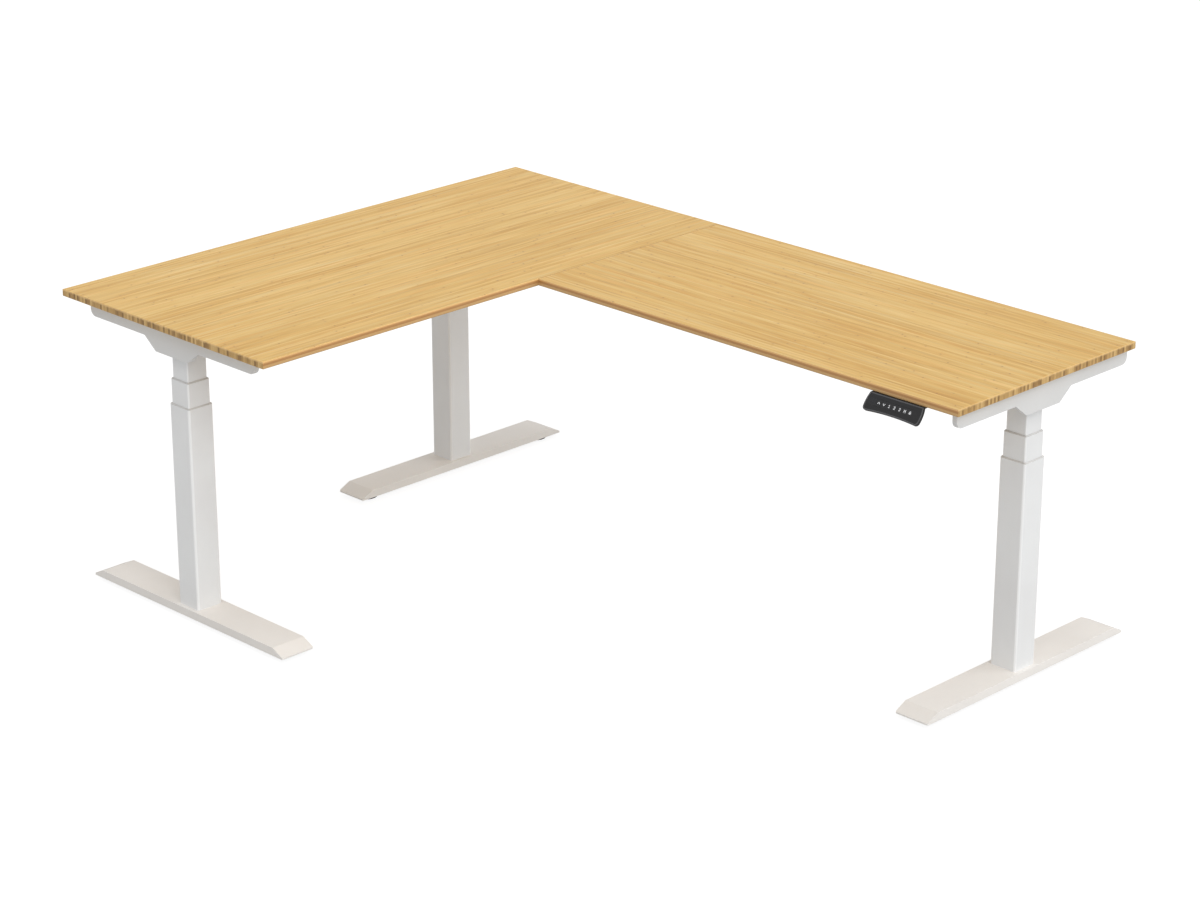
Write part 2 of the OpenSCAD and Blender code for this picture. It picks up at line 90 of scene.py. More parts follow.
def srgb(r, g, b):
    """0-255 sRGB to a linear colour with alpha."""
    def linear(c):
        c /= 255
        return c / 12.92 if c <= 0.04045 else ((c + 0.055) / 1.055) ** 2.4
    return (linear(r), linear(g), linear(b), 1.0)


class Graph:
    """A material's node tree around one Principled shader, with short calls for the nodes used here."""

    def __init__(self, name, **shader_values):
        self.material = bpy.data.materials.new(name)
        self.material.use_nodes = True
        self.tree = self.material.node_tree
        self.tree.nodes.clear()
        output = self.add("ShaderNodeOutputMaterial")
        self.shader = self.add("ShaderNodeBsdfPrincipled")
        self.tree.links.new(self.shader.outputs[0], output.inputs["Surface"])
        for socket, value in shader_values.items():
            self.shader.inputs[socket.replace("_", " ")].default_value = value
        coordinates = self.add("ShaderNodeTexCoord")
        self.place = coordinates.outputs["Object"]
        self.normal = coordinates.outputs["Normal"]

    def add(self, kind, **settings):
        node = self.tree.nodes.new(kind)
        for key, value in settings.items():
            setattr(node, key, value)
        return node

    def put(self, value, socket):
        """Links a socket, or sets a plain value."""
        if isinstance(value, bpy.types.NodeSocket):
            self.tree.links.new(value, socket)
        else:
            socket.default_value = value

    def set(self, socket, value):
        """Links or sets one of the shader's own sockets."""
        self.put(value, self.shader.inputs[socket])

    def math(self, operation, a, b=0.0):
        node = self.add("ShaderNodeMath", operation=operation)
        self.put(a, node.inputs[0])
        self.put(b, node.inputs[1])
        return node.outputs[0]

    def plus(self, a, b):
        return self.math("ADD", a, b)

    def minus(self, a, b):
        return self.math("SUBTRACT", a, b)

    def times(self, a, b):
        return self.math("MULTIPLY", a, b)

    def over(self, a, b):
        return self.math("DIVIDE", a, b)

    def size(self, value):
        return self.math("ABSOLUTE", value)

    def from_half(self, value):
        """Distance of a value from 0.5."""
        return self.size(self.minus(value, 0.5))

    def weighted(self, *terms):
        """Sum of (value, share), each value times its share."""
        total = None
        for value, share in terms:
            scaled = self.times(value, share)
            total = scaled if total is None else self.plus(total, scaled)
        return total

    def split(self, vector):
        node = self.add("ShaderNodeSeparateXYZ")
        self.put(vector, node.inputs[0])
        return node.outputs

    def join(self, x, y, z):
        node = self.add("ShaderNodeCombineXYZ")
        for value, socket in zip((x, y, z), node.inputs):
            self.put(value, socket)
        return node.outputs[0]

    def noise(self, vector, scale, detail=2.0, roughness=0.5):
        node = self.add("ShaderNodeTexNoise")
        self.put(vector, node.inputs["Vector"])
        node.inputs["Scale"].default_value = scale
        node.inputs["Detail"].default_value = detail
        node.inputs["Roughness"].default_value = roughness
        return node.outputs["Fac"]

    def stretched(self, x, y, z, detail=2.0, roughness=0.5):
        """Noise over three values that carry their own scales."""
        return self.noise(self.join(x, y, z), 1.0, detail, roughness)

    def random(self, value):
        """A steady random number between 0 and 1 for each whole number or vector."""
        vector = value.type == "VECTOR"
        node = self.add("ShaderNodeTexWhiteNoise", noise_dimensions="3D" if vector else "1D")
        self.put(value, node.inputs["Vector" if vector else "W"])
        return node.outputs["Value"]

    def spread(self, value, low, high, to_low=0.0, to_high=1.0, smooth=False):
        """Maps low..high to to_low..to_high and clamps."""
        node = self.add("ShaderNodeMapRange", clamp=True)
        if smooth:
            node.interpolation_type = "SMOOTHSTEP"
        for number, item in enumerate((value, low, high, to_low, to_high)):
            self.put(item, node.inputs[number])
        return node.outputs[0]

    def ramp(self, value, stops):
        """A colour ramp; stops are (place, sRGB colour)."""
        node = self.add("ShaderNodeValToRGB")
        self.put(value, node.inputs[0])
        elements = node.color_ramp.elements
        while len(elements) < len(stops):
            elements.new(0.5)
        for element, (place, colour) in zip(elements, stops):
            element.position = place
            element.color = srgb(*colour)
        return node.outputs[0]

    def mix(self, factor, a, b):
        node = self.add("ShaderNodeMix", data_type="RGBA")
        self.put(factor, node.inputs["Factor"])
        self.put(a, node.inputs[6])
        self.put(b, node.inputs[7])
        return node.outputs[2]

    def bump(self, height, distance, strength, below=None):
        """Relief from a height, on top of the normal below it."""
        node = self.add("ShaderNodeBump")
        node.inputs["Strength"].default_value = strength
        node.inputs["Distance"].default_value = distance
        self.put(height, node.inputs["Height"])
        if below is not None:
            self.put(below, node.inputs["Normal"])
        return node.outputs[0]

    def rounded_edges(self, radius):
        node = self.add("ShaderNodeBevel", samples=4)
        node.inputs["Radius"].default_value = radius
        return node.outputs[0]

    def edges(self, radius):
        """1 on edges, where the rounded normal leaves the face's own, and 0 on flat faces."""
        full, none = 0.86, 0.985    # cosines of the angle between the two normals
        dot = self.add("ShaderNodeVectorMath", operation="DOT_PRODUCT")
        self.put(self.rounded_edges(radius), dot.inputs[0])
        self.put(self.add("ShaderNodeNewGeometry").outputs["True Normal"], dot.inputs[1])
        return self.spread(dot.outputs["Value"], full, none, 1.0, 0.0)


# ---------------------------------------------------------------- bamboo

STRIP_W = 6.6 * MM          # width of one bamboo strip
NODE_STEP = 270 * MM        # distance between a strip's growth nodes

# colour of a strip's face from its darkest tone to its palest, and what is mixed into it
FACE_TONES = [(0.0, (190, 134, 40)), (0.28, (212, 161, 64)), (0.54, (228, 185, 98)),
              (0.80, (239, 200, 122)), (1.0, (249, 217, 158))]
WARM_STREAK = srgb(240, 176, 92)
PALE_STREAK = srgb(220, 194, 140)
MARK_TAIL = srgb(196, 138, 66)
MARK_CORE = srgb(158, 100, 46)
GLUE = srgb(186, 134, 66)
SEAM_SHADOW = srgb(122, 80, 40)

# colour of the end grain from dark blocks to pale ones, and what is mixed into it
END_TONES = [(0.0, (140, 104, 54)), (0.3, (170, 131, 74)), (0.6, (196, 157, 94)), (1.0, (222, 186, 122))]
END_GLUE = srgb(126, 86, 42)
END_TOP = srgb(240, 200, 136)
END_FOOT = srgb(214, 176, 118)

# colour of a long edge from its foot to its top, whose palest top band is a painted highlight of the eased
# top edge, and of the fibres in it
SIDE_TONES = [(0.0, (188, 150, 98)), (0.16, (208, 168, 112)), (0.40, (214, 172, 112)),
              (0.48, (184, 132, 78)), (0.72, (196, 144, 86)), (0.82, (236, 184, 116)),
              (1.0, (248, 206, 142))]
SIDE_FIBRE = srgb(160, 112, 62)


def growth_marks(g, u, v, strip, in_strip, own):
    """Masks of the growth nodes, a short dark core and its longer tail, at places of each strip's own."""
    turn = g.plus(g.over(u, NODE_STEP), g.times(own, 7.0))
    mark = g.math("FLOOR", turn)
    chance = g.random(g.join(strip, mark, 3.0))
    wobble = g.minus(g.stretched(strip, g.times(v, 300.0), mark), 0.5)
    from_mark = g.times(g.minus(g.math("FRACT", turn), 0.5), NODE_STEP)
    distance = g.size(g.plus(from_mark, g.times(wobble, 6 * MM)))
    inside = g.spread(g.from_half(in_strip), 0.30, 0.46, 1.0, 0.0)
    shown = g.times(g.spread(chance, 0.45, 0.85), inside)
    core = g.times(g.spread(distance, 0.6 * MM, 3.4 * MM, 1.0, 0.0, smooth=True), shown)
    tail = g.times(g.spread(distance, 2 * MM, 22 * MM, 1.0, 0.0, smooth=True), shown)
    return core, tail


def end_grain(g, own, own_too, batch, glue, height):
    """Blocks of uneven tone, speckled with fibre ends, paler at the top and a little at the foot."""
    speckle = g.noise(g.place, 1500.0, 2.0, 0.7)
    block_tone = g.weighted((own_too, 0.75), (batch, 0.35), (g.minus(speckle, 0.5), 0.5))
    end = g.ramp(g.spread(block_tone, 0.18, 0.95), END_TONES)
    end = g.mix(glue, end, END_GLUE)
    end_height = g.plus(height, g.times(g.minus(own, 0.5), 0.10))
    end = g.mix(g.spread(end_height, 0.70, 0.92, 0.0, 0.80), end, END_TOP)
    return g.mix(g.spread(end_height, 0.02, 0.22, 0.35, 0.0), end, END_FOOT)


def long_edge(g, u, z, fibres, height):
    """One strip seen from its side, darker above its middle and palest at the top, where a painted
    highlight stands for the eased top edge.
    """
    uneven = g.stretched(g.times(u, 4.0), g.times(z, 300.0), 1.0, 3.0, 0.6)
    side_height = g.plus(height, g.times(g.minus(uneven, 0.5), 0.07))
    side = g.ramp(side_height, SIDE_TONES)
    return g.mix(g.spread(fibres, 0.25, 0.6, 0.35, 0.0), side, SIDE_FIBRE)


def bamboo(name, along, across):
    """Bamboo strips glued side by side: grain on axis `along`, strips in a row on axis `across`."""
    g = Graph(name, Coat_Weight=0.25, Coat_Roughness=0.28)
    x, y, z = g.split(g.place)
    axis = {"x": x, "y": y}
    u, v = axis[along], axis[across]
    normals = dict(zip("xyz", g.split(g.normal)))
    strips = g.over(v, STRIP_W)
    strip = g.math("FLOOR", strips)
    in_strip = g.math("FRACT", strips)
    own = g.random(strip)
    own_too = g.random(g.plus(strip, 0.37))

    def lengthways(per_metre, shift, most):
        """Position along the grain, moved by up to `most` by each strip's own shift."""
        return g.plus(g.times(u, per_metre), g.times(shift, most))

    # tone: batches of strips, slow drift along the grain, then each strip's own streaks and fibres
    batch = g.stretched(g.times(u, 1.3), g.times(v, 11.0), 0.0, 3.0, 0.6)
    drift = g.stretched(g.times(u, 3.4), g.times(strip, 0.73), own)
    streaks = g.stretched(lengthways(7.0, own_too, 60.0), g.times(v, 230.0), own, 3.0, 0.6)
    fibres = g.stretched(lengthways(9.0, own, 40.0), g.times(v, 620.0), g.times(z, 620.0), 3.0, 0.62)
    fine = g.stretched(lengthways(40.0, own, 90.0), g.times(v, 2100.0), g.times(z, 2100.0))
    tone = g.weighted((own, 0.22), (batch, 0.50), (drift, 0.42), (streaks, 0.62),
                      (fibres, 0.42), (fine, 0.16))
    face = g.ramp(g.spread(tone, 0.80, 1.54), FACE_TONES)

    # some streaks are warmer and some paler than their tone alone makes them
    hue = g.stretched(lengthways(2.2, own_too, 9.0), g.times(v, 64.0), 5.0, 3.0, 0.6)
    face = g.mix(g.spread(hue, 0.50, 0.70, 0.0, 0.34), face, WARM_STREAK)
    face = g.mix(g.spread(hue, 0.32, 0.50, 0.34, 0.0), face, PALE_STREAK)

    core, tail = growth_marks(g, u, v, strip, in_strip, own)
    face = g.mix(g.times(tail, 0.22), face, MARK_TAIL)
    face = g.mix(g.times(core, 0.55), face, MARK_CORE)

    glue = g.spread(g.from_half(in_strip), 0.465, 0.5)
    glue = g.times(glue, g.spread(own_too, 0.1, 1.0, 0.10, 0.42))
    face = g.mix(glue, face, GLUE)

    # dark line where the two panels meet
    seam = g.size(g.minus(x, SEAM_X))
    beside = g.spread(y, SEAM_Y - 0.2 * MM, SEAM_Y + 0.2 * MM)
    line = g.times(g.spread(seam, 0.8 * MM, 2.0 * MM, 0.75, 0.0), beside)
    face = g.mix(line, face, SEAM_SHADOW)

    height = g.spread(z, PANEL_LOW, PANEL_HIGH)
    end_mask = g.spread(g.size(normals[along]), 0.55, 0.80)
    side_mask = g.spread(g.size(normals[across]), 0.55, 0.80)
    colour = g.mix(side_mask, face, long_edge(g, u, z, fibres, height))
    colour = g.mix(end_mask, colour, end_grain(g, own, own_too, batch, glue, height))
    g.set("Base Color", colour)

    g.set("Roughness", g.spread(g.plus(fibres, g.times(end_mask, 0.4)), 0.3, 1.1, 0.34, 0.62))
    relief = g.weighted((fibres, 0.5), (glue, -0.9), (core, -0.5))
    g.set("Normal", g.bump(relief, 0.12 * MM, 0.8))
    return g.material


# ---------------------------------------------------------------- other materials

def powder_coat(name, colour, shade, edge, roughness=0.42):
    """Sprayed powder: fine orange peel, a little uneven in tone, with a painted highlight over bends and
    edges.
    """
    g = Graph(name, Coat_Weight=0.2, Coat_Roughness=0.22)
    cloud = g.noise(g.place, 6.0, 3.0)
    grit = g.noise(g.place, 1900.0)
    coat = g.ramp(g.weighted((cloud, 0.7), (grit, 0.3)), [(0.32, shade), (0.62, colour)])
    normals = g.split(g.normal)
    # painted highlight: the edge colour is mixed in over rounded upright corners and sharp edges
    corner_highlight = g.spread(g.size(g.times(normals[0], normals[1])), 0.10, 0.34)
    painted_highlight = g.math("MAXIMUM", g.edges(1.6 * MM), corner_highlight)
    g.set("Base Color", g.mix(g.times(painted_highlight, 0.9), coat, srgb(*edge)))
    g.set("Roughness", g.spread(grit, 0.25, 0.75, roughness - 0.06, roughness + 0.08))
    peel = g.noise(g.place, 620.0)
    relief = g.plus(peel, g.times(grit, 0.35))
    g.set("Normal", g.bump(relief, 0.06 * MM, 0.6, below=g.rounded_edges(0.7 * MM)))
    return g.material


def moulded(name, colour, roughness=0.5, grain=900.0, depth=0.05 * MM, tint=1.25, edge_r=0.5 * MM):
    """Injection moulded plastic or rubber with a fine spark-eroded grain."""
    g = Graph(name)
    cells = g.noise(g.place, grain, 3.0, 0.6)
    cloud = g.noise(g.place, 14.0)
    light = tuple(min(255, c * tint) for c in colour)
    g.set("Base Color", g.ramp(g.weighted((cells, 0.5), (cloud, 0.5)), [(0.3, colour), (0.7, light)]))
    g.set("Roughness", g.spread(cells, 0.3, 0.7, roughness - 0.08, roughness + 0.1))
    g.set("Normal", g.bump(cells, depth, 0.7, below=g.rounded_edges(edge_r)))
    return g.material


def machined(name, colour, step=2.0 * MM, roughness=0.28):
    """Turned steel: rings at even steps along Z, with fine scratches that run round it too."""
    g = Graph(name, Metallic=1.0)
    x, y, z = g.split(g.place)
    ring = g.from_half(g.math("FRACT", g.over(z, step)))
    scratch = g.stretched(g.times(x, 90.0), g.times(y, 90.0), g.times(z, 2600.0), 3.0)
    oil = g.noise(g.place, 30.0, 3.0)
    dark = tuple(c * 0.6 for c in colour)
    g.set("Base Color", g.ramp(g.weighted((scratch, 0.5), (oil, 0.5)), [(0.3, dark), (0.65, colour)]))
    g.set("Roughness", g.spread(oil, 0.2, 0.8, roughness - 0.06, roughness + 0.18))
    g.set("Normal", g.bump(g.plus(ring, g.times(scratch, 0.15)), 0.4 * MM, 0.8))
    return g.material


def cast(name, colour):
    """Die-cast aluminium: shallow grain with flow marks."""
    g = Graph(name, Metallic=0.55)
    grain = g.noise(g.place, 700.0, 4.0, 0.65)
    flow = g.noise(g.place, 25.0, 4.0)
    dark = tuple(c * 0.8 for c in colour)
    g.set("Base Color", g.ramp(g.weighted((grain, 0.4), (flow, 0.6)), [(0.3, dark), (0.65, colour)]))
    g.set("Roughness", g.spread(grain, 0.3, 0.7, 0.4, 0.62))
    g.set("Normal", g.bump(grain, 0.1 * MM, 0.8, below=g.rounded_edges(0.8 * MM)))
    return g.material


def display_glass(name):
    """Black acrylic over the display: glossy, with faint dust and rubbing."""
    g = Graph(name, IOR=1.49)
    rub = g.noise(g.place, 160.0, 4.0, 0.7)
    g.set("Base Color", g.ramp(rub, [(0.35, (34, 34, 37)), (0.75, (41, 41, 44))]))
    g.set("Roughness", g.spread(rub, 0.3, 0.8, 0.24, 0.36))
    return g.material


def printed(name, colour):
    """Screen-printed ink, a little thin in places."""
    g = Graph(name)
    thin = g.noise(g.place, 2400.0)
    g.set("Base Color", g.ramp(thin, [(0.25, tuple(c * 0.84 for c in colour)), (0.5, colour)]))
    g.set("Roughness", g.spread(thin, 0.3, 0.7, 0.45, 0.6))
    return g.material


# each powder coat's third colour is its painted highlight, mixed in over bends and edges
MATERIALS = {
    "white_steel": powder_coat("white_powder", (239, 240, 240), (233, 233, 233), (255, 255, 255)),
    "guide_plastic": moulded("guide_plastic", (205, 204, 202), tint=1.05),
    "spindle_steel": machined("spindle_steel", (190, 190, 192)),
    "housing_cast": cast("housing_cast", (190, 191, 193)),
    "motor_black": powder_coat("motor_black", (42, 42, 44), (28, 28, 30), (66, 66, 69), roughness=0.36),
    "box_black": moulded("box_black", (30, 30, 32), roughness=0.56, grain=520.0, depth=0.12 * MM),
    "keypad_black": moulded("keypad_black", (27, 27, 29), roughness=0.42, edge_r=1.6 * MM),
    "key_black": moulded("key_black", (33, 33, 35), roughness=0.44, grain=1400.0),
    "window": display_glass("window"),
    "lead_black": moulded("lead_black", (22, 22, 23), roughness=0.58, grain=500.0),
    "rubber_black": moulded("rubber_black", (20, 20, 21), roughness=0.68, grain=420.0, depth=0.12 * MM),
    "fastener": machined("fastener", (96, 96, 99), step=0.5 * MM, roughness=0.34),
}
BAMBOO = {
    "main_top": bamboo("bamboo_main", "x", "y"),
    "return_top": bamboo("bamboo_return", "y", "x"),
}
# the rim's grey, much lighter than the plate's black, is partly its own colour and partly a painted
# highlight along the plate's edge
RIM_WITH_HIGHLIGHT = moulded("keypad_rim", (74, 74, 77), roughness=0.30)
# a darker copy of the white coat for the brackets, painted shade from the panels above them, and a warmer,
# paler copy for the feet
SHADED_BRACKET = powder_coat("bracket_painted_shade", (227, 227, 226), (221, 221, 220), (246, 246, 246))
FOOT = powder_coat("foot_powder", (244, 240, 235), (238, 234, 229), (255, 254, 250))
INK = printed("key_ink", (252, 253, 255))

for part in frame["record"]["subparts"]:
    name = part["node"]
    cad = nodes[name]
    finish = BAMBOO.get(name) or MATERIALS[part["material_slot"]]
    # the brackets take the darker coat, painted shade under the panels
    if name.endswith("_side_bracket"):
        finish = SHADED_BRACKET
    if name.endswith("_foot"):
        finish = FOOT
    if not cad.material_slots:
        cad.data.materials.append(finish)
    for material_slot in cad.material_slots:
        material_slot.material = finish


# ---------------------------------------------------------------- mesh tools

def skin(bm, rings, closed=False):
    """Joins each ring of vertices to the next, and the last to the first if closed.

    A ring of one vertex closes an end.
    """
    pairs = list(zip(rings, rings[1:]))
    if closed:
        pairs.append((rings[-1], rings[0]))
    for a, b in pairs:
        count = max(len(a), len(b))
        for i in range(count):
            j = (i + 1) % count
            if len(a) == 1:
                bm.faces.new((a[0], b[j], b[i]))
            elif len(b) == 1:
                bm.faces.new((a[i], a[j], b[0]))
            else:
                bm.faces.new((a[i], a[j], b[j], b[i]))


def capped_skin(bm, rings):
    """Joins rings of vertices into a tube with closed ends."""
    skin(bm, rings)
    bm.faces.new(rings[0])
    bm.faces.new(rings[-1])


def hexagon(radius, angle):
    """Distance from the middle to the side of a hexagon, at an angle in radians."""
    sector = math.pi / 3
    return radius * math.cos(sector / 2) / math.cos(angle % sector - sector / 2)


def in_mm(profile, radius=0.0):
    """A lathe profile from millimetres, its radii counted from a radius in metres."""
    return [(radius + out * MM, height * MM) for out, height in profile]


def lathe(bm, profile, place):
    """Turns rings of (radius, height) round Z; radius ("hex", r) makes a hexagon, and 0 closes an end.

    With no closed end, the last ring joins the first, as in a washer.
    """
    rings = []
    for radius, height in profile:
        if radius == 0:
            rings.append([bm.verts.new(place @ Vector((0, 0, height)))])
            continue
        ring = []
        for i in range(ROUND):
            angle = 2 * math.pi * i / ROUND
            r = hexagon(radius[1], angle) if isinstance(radius, tuple) else radius
            point = Vector((r * math.cos(angle), r * math.sin(angle), height))
            ring.append(bm.verts.new(place @ point))
        rings.append(ring)
    skin(bm, rings, closed=len(rings[0]) > 1 and len(rings[-1]) > 1)


def block(bm, size, place, bevel):
    """A box of that size in the middle of a place, its edges rounded."""
    corners = bmesh.ops.create_cube(bm, size=1.0)["verts"]
    bmesh.ops.transform(bm, matrix=place @ Matrix.Diagonal((*size, 1.0)), verts=corners)
    edges = list({edge for corner in corners for edge in corner.link_edges})
    bmesh.ops.bevel(bm, geom=edges, offset=bevel, segments=3, profile=0.5, affect="EDGES")


def facing(point, out):
    """A place at a point whose Z looks along out."""
    return Matrix.Translation(point) @ Vector(out).to_track_quat("Z", "Y").to_matrix().to_4x4()


def finish_mesh(bm, name, body, slot, material=None, smooth=True):
    """Turns a bmesh into a piece that rides on a body, its faces looking outwards."""
    bmesh.ops.recalc_face_normals(bm, faces=bm.faces)
    mesh = bpy.data.meshes.new(name)
    bm.to_mesh(mesh)
    bm.free()
    mesh.materials.append(material or MATERIALS[slot])
    for polygon in mesh.polygons:
        polygon.use_smooth = smooth
    obj = bpy.data.objects.new(name, mesh)
    bpy.context.scene.collection.objects.link(obj)
    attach(obj, body)
    if smooth:
        mesh.set_sharp_from_angle(angle=SHARP)
    return obj


def socket_screws(name, points, out, radius, body):
    """Cap screws with a hexagonal socket, their heads standing on a face."""
    sunk = -0.2 * MM
    height = radius * 0.7
    rim = height * 0.8
    socket_floor = height * 0.3
    socket = ("hex", radius * 0.56)
    profile = [(0, sunk), (radius, sunk), (radius, rim), (radius * 0.88, height),
               (socket, height), (socket, socket_floor), (0, socket_floor)]
    bm = bmesh.new()
    for point in points:
        lathe(bm, profile, facing(point, out))
    finish_mesh(bm, name, body, "fastener")


# ---------------------------------------------------------------- keypad

def arc(centre, radius, start, end, steps=10):
    """Points on an arc, angles in degrees."""
    angles = [math.radians(start + (end - start) * i / steps) for i in range(steps + 1)]
    return [(centre[0] + radius * math.cos(a), centre[1] + radius * math.sin(a)) for a in angles]


# strokes of each icon in a box 1 wide and 1 high, centred on 0
ICONS = {
    "up": [[(-0.5, -0.25), (0.0, 0.35), (0.5, -0.25)]],
    "down": [[(-0.5, 0.25), (0.0, -0.35), (0.5, 0.25)]],
    "one": [[(-0.22, 0.25), (0.05, 0.5), (0.05, -0.5)], [(-0.2, -0.5), (0.3, -0.5)]],
    "two": [arc((0.0, 0.2), 0.3, 160, -40) + [(-0.3, -0.5), (0.32, -0.5)]],
    "three": [arc((0.0, 0.26), 0.24, 150, -90) + arc((0.0, -0.24), 0.27, 90, -150)],
    "memory": [[(-0.42, -0.5), (-0.42, 0.5), (0.0, -0.1), (0.42, 0.5), (0.42, -0.5)]],
    "alarm": [[(0.32, -0.24)] + arc((0.0, 0.14), 0.32, 0, 180) + [(-0.32, -0.24)],
              [(-0.5, -0.24), (0.5, -0.24)], [(-0.1, -0.5), (0.1, -0.5)]],
}
ICON_H = 6.4 * MM
ICON_W = 5.6 * MM
STROKE = 1.25 * MM
INK_T = 0.10 * MM           # thickness of the first stroke; each later one is thicker by a quarter of it
INK_SUNK = 0.02 * MM
MOST_MITRE = 1.8

# the rim's section: (inwards from the plate's edge, out of the plate), in mm
RIM_SECTION = [(3.3, -0.1), (2.9, 0.35), (2.2, 0.65), (1.3, 0.75), (0.6, 0.5), (0.15, -0.1)]


def ribbon(bm, points, width, thickness):
    """A flat stroke through 2-D points, mitred at its corners, from z = 0 to the thickness."""
    half = width / 2
    last = len(points) - 1
    rings = []
    for i, here in enumerate(points):
        before = (here - points[i - 1]).normalized() if i > 0 else None
        after = (points[i + 1] - here).normalized() if i < last else None
        direction = ((before or after) + (after or before)).normalized()
        side = Vector((-direction.y, direction.x))
        edge = before or after
        stretch = min(MOST_MITRE, 1.0 / max(0.3, abs(side.dot(Vector((-edge.y, edge.x))))))
        cap = direction * half * ((i == last) - (i == 0))
        offset = side * half * stretch
        left, right = here + cap + offset, here + cap - offset
        section = ((left, 0.0), (right, 0.0), (right, thickness), (left, thickness))
        rings.append([bm.verts.new((point.x, point.y, z)) for point, z in section])
    capped_skin(bm, rings)


def key_icon(key):
    """The printed icon of a key, which moves with it."""
    low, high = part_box("key_" + key)
    centre = (low + high) / 2
    bm = bmesh.new()
    for layer, stroke in enumerate(ICONS[key]):
        points = [Vector((x * ICON_W, y * ICON_H)) for x, y in stroke]
        ribbon(bm, points, STROKE, INK_T * (1 + 0.25 * layer))
    corners = nodes["key_" + key].data.vertices
    surface = max((vertex.co - centre).dot(OUT_OF_FACE) for vertex in corners)
    axes = Matrix((Vector((1, 0, 0)), UP_FACE, OUT_OF_FACE)).transposed().to_4x4()
    bm.transform(Matrix.Translation(centre + OUT_OF_FACE * (surface - INK_SUNK)) @ axes)
    finish_mesh(bm, "icon_" + key, key + "_key", "key_black", INK, smooth=False)


def front_outline(node, out):
    """The longest loop of edges round the faces of a node that lie furthest out, in order."""
    bm = bmesh.new()
    bm.from_mesh(nodes[node].data)
    bmesh.ops.remove_doubles(bm, verts=bm.verts, dist=WELD)
    furthest = max(vertex.co.dot(out) for vertex in bm.verts) - 0.01 * MM
    front = {face for face in bm.faces
             if face.normal.dot(out) > 0.99 and face.calc_center_median().dot(out) > furthest}
    links = {}
    for face in front:
        for edge in face.edges:
            if any(other not in front for other in edge.link_faces):
                for vertex in edge.verts:
                    links.setdefault(vertex, []).append(edge.other_vert(vertex))
    loops = []
    unused = set(links)
    while unused:
        here = min(unused, key=lambda vertex: vertex.index)
        loop = []
        while here in unused:
            unused.discard(here)
            loop.append(here.co.copy())
            here = next((vertex for vertex in links[here] if vertex in unused), here)
        loops.append(loop)
    bm.free()
    return max(loops, key=lambda loop: sum((a - b).length for a, b in zip(loop, loop[1:])))


def keypad_rim():
    """A raised, glossy lip round the keypad's plate, its lighter grey partly its own colour and partly a
    painted highlight.
    """
    outline = front_outline("keypad_case", OUT_OF_FACE)
    middle = sum(outline, Vector()) / len(outline)
    bm = bmesh.new()
    rings = []
    for i, here in enumerate(outline):
        along = (outline[(i + 1) % len(outline)] - outline[i - 1]).normalized()
        inward = OUT_OF_FACE.cross(along).normalized()
        if inward.dot(middle - here) < 0:
            inward = -inward
        section = [here + inward * inset * MM + OUT_OF_FACE * height * MM for inset, height in RIM_SECTION]
        rings.append([bm.verts.new(point) for point in section])
    skin(bm, rings, closed=True)
    finish_mesh(bm, "keypad_rim", "head", "keypad_black", RIM_WITH_HIGHLIGHT)


# ---------------------------------------------------------------- legs

# lathe sections in mm: (radius, height), the bead's radius counted from the motor's own
MOTOR_BEAD = [(-0.6, -2.2), (-0.1, -1.4), (0.35, 0), (-0.1, 1.4), (-0.6, 2.2)]
LEAD_BOOT = [(4.6, -1), (4.6, 4), (3.9, 4.6), (3.9, 6), (4.3, 6.6),
             (3.6, 8), (3.6, 9.4), (4.0, 10), (3.1, 12), (2.6, 16)]
FOOT_BOLT_OFFSET = 23 * MM


def leg_frame(leg):
    """Middle of a column, the way its motor points, and that way's side."""
    tube_low, tube_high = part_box(leg + "_outer_tube")
    middle = (tube_low + tube_high) / 2
    motor_low, motor_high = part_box(leg + "_motor")
    out = (motor_low + motor_high) / 2 - middle
    if abs(out.x) > abs(out.y):
        along = Vector((math.copysign(1, out.x), 0, 0))
    else:
        along = Vector((0, math.copysign(1, out.y), 0))
    return middle, along, Vector((-along.y, along.x, 0))


def reach(node, middle, way):
    """How far a node goes from a point in one level direction."""
    low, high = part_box(node)
    corners = [Vector((x, y, middle.z)) for x in (low.x, high.x) for y in (low.y, high.y)]
    return max((corner - middle).dot(way) for corner in corners)


def motor_trim(leg):
    """Crimped beads round the motor's can, two screws in its end, and the lead's rubber boot."""
    middle, along, side = leg_frame(leg)
    low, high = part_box(leg + "_motor")
    radius = (high.z - low.z) / 2
    axis_point = Vector((middle.x, middle.y, (low.z + high.z) / 2))
    start = reach(leg + "_gear_housing", middle, along)
    end = reach(leg + "_motor", middle, along)
    bm = bmesh.new()
    for place in (start + 8 * MM, end - 26 * MM):
        lathe(bm, in_mm(MOTOR_BEAD, radius), facing(axis_point + along * place, along))
    finish_mesh(bm, leg + "_motor_beads", "head", "motor_black")
    screw_circle = (radius - 5 * MM) * 0.76
    seat = axis_point + along * (end - 4 * MM)
    points = [seat + (side * math.cos(a) + Vector((0, 0, math.sin(a)))) * screw_circle
              for a in (math.radians(45), math.radians(225))]
    socket_screws(leg + "_motor_screws", points, along, 2.6 * MM, "head")
    bm = bmesh.new()
    lathe(bm, in_mm(LEAD_BOOT), facing(axis_point + along * end, along))
    finish_mesh(bm, leg + "_lead_boot", "head", "lead_black")


def housing_screws(leg):
    """Screws that hold the gear housing's lower half, on its underside beside the tube."""
    middle, along, side = leg_frame(leg)
    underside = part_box(leg + "_gear_housing")[0].z
    end = reach(leg + "_gear_housing", middle, along)
    half = reach(leg + "_gear_housing", middle, side)
    base = Vector((middle.x, middle.y, underside))
    points = [base + along * (end - inset) + side * sign * (half - 8 * MM)
              for inset in (8 * MM, 34 * MM) for sign in (-1, 1)]
    socket_screws(leg + "_housing_screws", points, DOWN, 3.6 * MM, "head")


